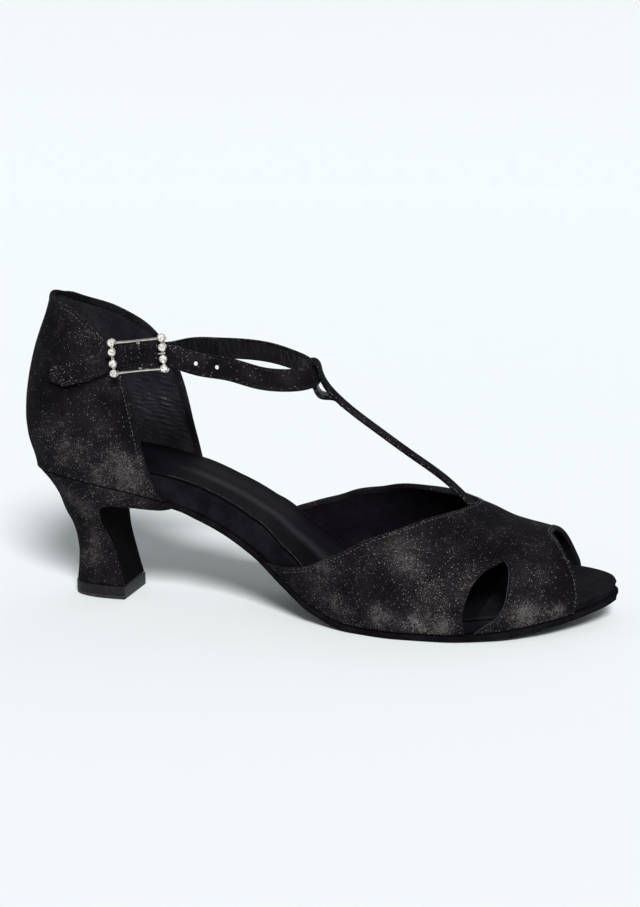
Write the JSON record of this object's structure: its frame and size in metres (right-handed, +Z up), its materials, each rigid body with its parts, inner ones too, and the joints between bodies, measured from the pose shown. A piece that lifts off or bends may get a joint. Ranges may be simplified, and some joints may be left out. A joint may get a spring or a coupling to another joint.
{
  "type": "ballroom dance shoe",
  "caption": "Ladies' ballroom dance shoe for the right foot with a peep-toe vamp, closed heel cup, T strap, buckled ankle strap and flared heel.",
  "frame": {"origin": "under the middle of the shoe's box, on the floor", "axes": "+X to the toe, +Y to the inner side of the foot, +Z up"},
  "size_m": [0.231, 0.0822, 0.1196],
  "materials": {
    "black_suede": "black suede with a fine glitter",
    "board_wrap": "matte black wrap",
    "sock_leather": "smooth, soft sheen",
    "sole_suede": "rough suede",
    "tip_rubber": "satin",
    "breast_cover": "matte",
    "silver": "polished silver",
    "clear_stone": "cut clear stone"
  },
  "bodies": {
    "root": {"outsole": "sole_suede", "midsole_board": "board_wrap", "insole_sock": "sock_leather", "vamp": "black_suede", "heel_counter": "black_suede", "heel": "black_suede", "heel_tip": "tip_rubber", "heel_breast": "breast_cover", "ankle_strap": "black_suede", "t_strap": "black_suede", "buckle_frame": "silver", "buckle_prong": "silver", "buckle_chape": "black_suede", "rhinestone_1": "clear_stone", "rhinestone_2": "clear_stone", "rhinestone_3": "clear_stone", "rhinestone_4": "clear_stone", "rhinestone_5": "clear_stone", "rhinestone_6": "clear_stone", "rhinestone_7": "clear_stone", "rhinestone_8": "clear_stone"}
  },
  "joints": []
}
